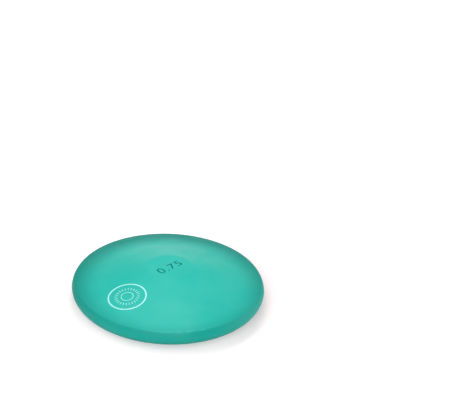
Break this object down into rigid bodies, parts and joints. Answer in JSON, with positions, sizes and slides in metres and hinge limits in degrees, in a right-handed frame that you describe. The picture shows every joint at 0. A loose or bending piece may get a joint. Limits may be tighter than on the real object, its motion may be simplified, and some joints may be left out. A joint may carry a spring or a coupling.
{
  "type": "rubber throwing discus",
  "caption": "Moulded green rubber throwing discus with a tapered face, a small flat in the middle, a rounded rim, a printed ring and a steel weight plate inside.",
  "frame": {"origin": "centre of the lower flat, on which the discus lies", "axes": "+Z is the discus's axis and points up through the flat that carries the digits, which read along +X; the printed ring is near -X"},
  "size_m": [0.167, 0.167, 0.035],
  "materials": {
    "green_rubber": "satin moulded rubber with a faint bloom",
    "steel": "plain rolled steel plate",
    "white_ink": "thin printed white ink"
  },
  "bodies": {
    "root": {"upper_rubber_half": "green_rubber", "lower_rubber_half": "green_rubber", "steel_weight_plate": "steel", "printed_ring": "white_ink"}
  },
  "joints": []
}
